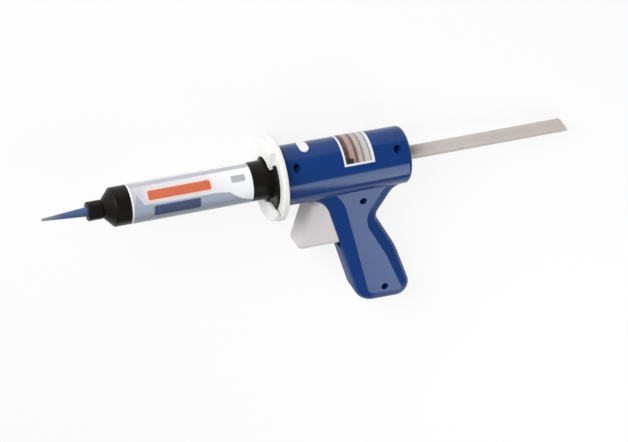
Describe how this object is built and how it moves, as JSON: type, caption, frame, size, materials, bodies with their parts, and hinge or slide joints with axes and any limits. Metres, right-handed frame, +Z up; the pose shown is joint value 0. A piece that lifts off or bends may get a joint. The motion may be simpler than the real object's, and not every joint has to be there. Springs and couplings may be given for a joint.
{
  "type": "manual syringe dispensing gun",
  "caption": "Hand-held dispensing gun with a swinging trigger, a toothed push rod and a filled syringe with a tapered tip held in its front collar.",
  "frame": {"origin": "middle of the bounding box at floor level, with the gun lying at rest on its right side", "axes": "+X along the floor from the dispensing tip towards the push rod's tail, +Z up through the gun's left side, +Y from the grip towards the top of the gun"},
  "size_m": [0.366, 0.1328, 0.0583],
  "materials": {
    "housing_plastic": "gloss",
    "collar_plastic": "satin",
    "trigger_plastic": "satin",
    "rod_plastic": "satin",
    "barrel_plastic": "satin",
    "piston_plastic": "satin",
    "tip_plastic": "gloss",
    "label_film": "satin",
    "sticker_film": "satin",
    "pawl_plastic": "satin",
    "steel": "bright"
  },
  "bodies": {
    "gun": {"housing_left": "housing_plastic", "housing_right": "housing_plastic", "housing_screws": "steel", "housing_sticker": "sticker_film", "collar": "collar_plastic", "syringe_barrel": "barrel_plastic", "barrel_label": "label_film", "dispensing_tip": "tip_plastic", "trigger_pin": "steel", "trigger_spring": "steel", "rod_brake": "pawl_plastic", "brake_spring": "steel"},
    "trigger": {"trigger": "trigger_plastic", "pawl_pin": "steel", "pawl_spring": "steel"},
    "pawl": {"pawl": "pawl_plastic"},
    "rod": {"push_rod": "rod_plastic", "pusher_head": "rod_plastic", "head_screw": "steel"},
    "piston": {"syringe_piston": "piston_plastic"}
  },
  "joints": [
    {"name": "trigger_pull", "type": "hinge", "parent": "gun", "child": "trigger", "pos_m": [0.01096, 0.01876, 0.02403], "axis": [0.1103, -0.0616, 0.992], "range_deg": [0, 24], "stiffness_Nm_per_rad": 0.25, "springref_deg": -11.46, "deforming": ["trigger_spring"]},
    {"name": "pawl_swing", "type": "hinge", "parent": "trigger", "child": "pawl", "pos_m": [0.01351, 0.02764, 0.02429], "axis": [0.1103, -0.0616, 0.992], "range_deg": [-30, 6], "deforming": ["pawl_spring"]},
    {"name": "rod_slide", "type": "slide", "parent": "gun", "child": "rod", "axis": [-0.9939, 0, 0.1105], "range_m": [0, 0.08]},
    {"name": "piston_slide", "type": "slide", "parent": "gun", "child": "piston", "axis": [-0.9939, 0, 0.1105], "range_m": [0, 0.08]}
  ],
  "couplings": [
    {"joint": "pawl_swing", "follows": "trigger_pull", "ratio": -1},
    {"joint": "piston_slide", "follows": "rod_slide", "ratio": 1}
  ]
}
